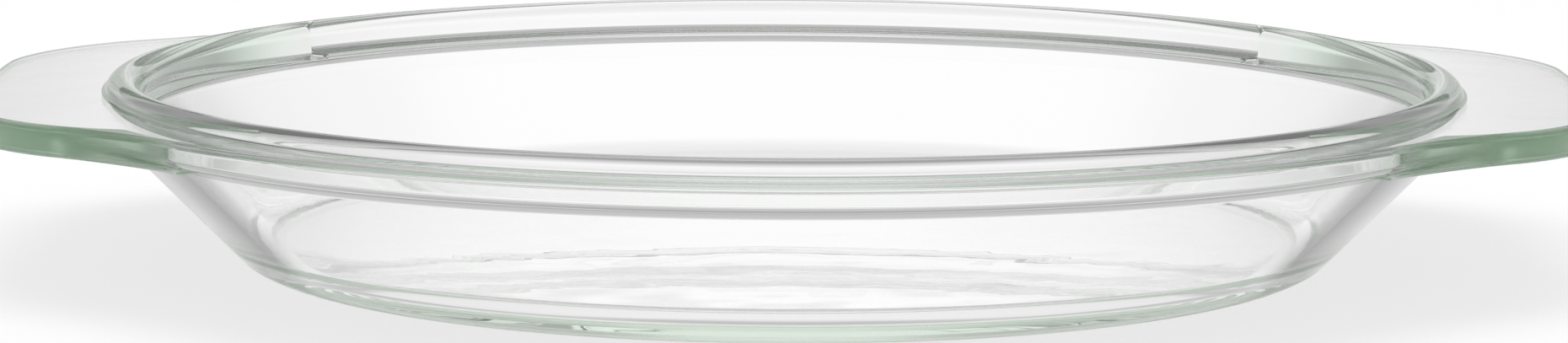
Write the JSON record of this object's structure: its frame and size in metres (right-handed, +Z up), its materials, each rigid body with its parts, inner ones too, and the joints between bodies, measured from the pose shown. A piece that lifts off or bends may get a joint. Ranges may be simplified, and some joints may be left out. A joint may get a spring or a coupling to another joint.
{
  "type": "shallow glass baking dish",
  "caption": "Shallow round dish of clear pressed glass with a sloping wall, a raised round rim, a flat flange and wide tab handles on opposite sides.",
  "frame": {"origin": "middle of the flat underside, on the surface that the dish stands on", "axes": "+Z up out of the dish, +X towards one tab handle, +Y across the tabs"},
  "size_m": [0.289, 0.2604, 0.0336],
  "materials": {
    "clear_glass": "gloss"
  },
  "bodies": {
    "root": {"dish": "clear_glass"}
  },
  "joints": []
}
